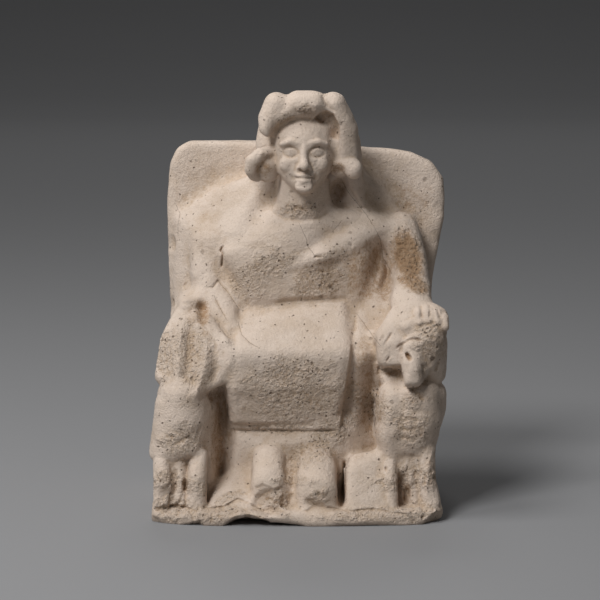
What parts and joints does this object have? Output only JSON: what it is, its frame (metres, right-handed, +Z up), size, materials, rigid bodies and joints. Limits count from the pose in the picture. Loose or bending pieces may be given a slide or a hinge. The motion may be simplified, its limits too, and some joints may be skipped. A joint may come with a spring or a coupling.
{
  "type": "limestone statuette",
  "caption": "Ancient limestone statuette of a robed figure seated on a high-backed throne between two rams, carved from one block with its base",
  "frame": {"origin": "middle of the flat underside", "axes": "+Z up, longest way of the statuette; the figure faces -Y; +X is the viewer's right"},
  "size_m": [0.149, 0.1056, 0.207],
  "materials": {
    "limestone": "matt, weathered and pitted"
  },
  "bodies": {
    "root": {"statuette": "limestone"}
  },
  "joints": []
}
